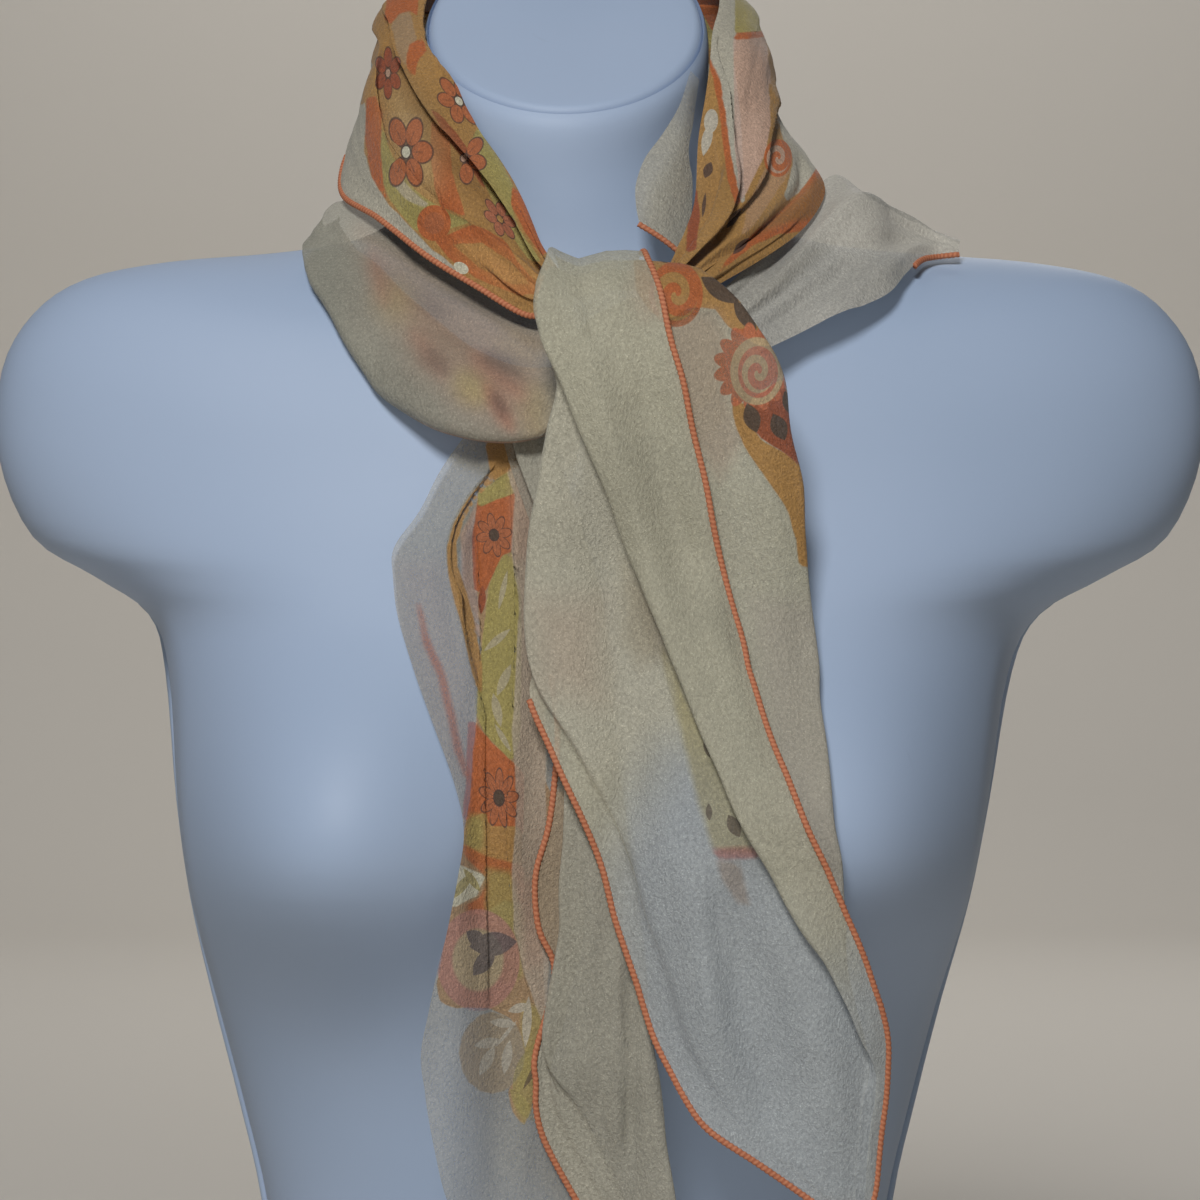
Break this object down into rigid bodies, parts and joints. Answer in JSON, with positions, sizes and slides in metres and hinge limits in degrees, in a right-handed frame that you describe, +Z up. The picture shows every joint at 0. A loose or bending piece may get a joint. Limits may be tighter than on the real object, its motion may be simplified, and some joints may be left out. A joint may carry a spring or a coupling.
{
  "type": "chiffon scarf on a bust dress form",
  "caption": "Printed square chiffon scarf with an orange rolled hem, tied in front at the neck of a standing bust dress form, both tails hanging.",
  "frame": {"origin": "middle of the dress form's flat base, on the surface it stands on", "axes": "+Z up, -Y towards the front where the scarf is tied, +X to the right as seen from the front"},
  "size_m": [0.42, 0.2477, 0.592],
  "materials": {
    "glossy_plastic": "smooth glossy moulded plastic",
    "cream_chiffon": "sheer crinkled chiffon with a soft sheen",
    "printed_chiffon": "sheer chiffon printed with flowers, leaves and paisley in gold, orange and brown",
    "orange_thread": "overlocked rolled hem"
  },
  "bodies": {
    "root": {"form": "glossy_plastic", "knot": "printed_chiffon", "collar_left": "printed_chiffon", "collar_back": "printed_chiffon", "collar_right": "printed_chiffon", "neck_flap": "cream_chiffon", "wing_left": "cream_chiffon", "wing_right": "cream_chiffon", "tail_front": "cream_chiffon", "tail_back": "printed_chiffon", "hem_collar_left": "orange_thread", "hem_neck_flap": "orange_thread", "hem_wing_right": "orange_thread", "hem_tail_front": "orange_thread", "hem_tail_back": "orange_thread"}
  },
  "joints": []
}
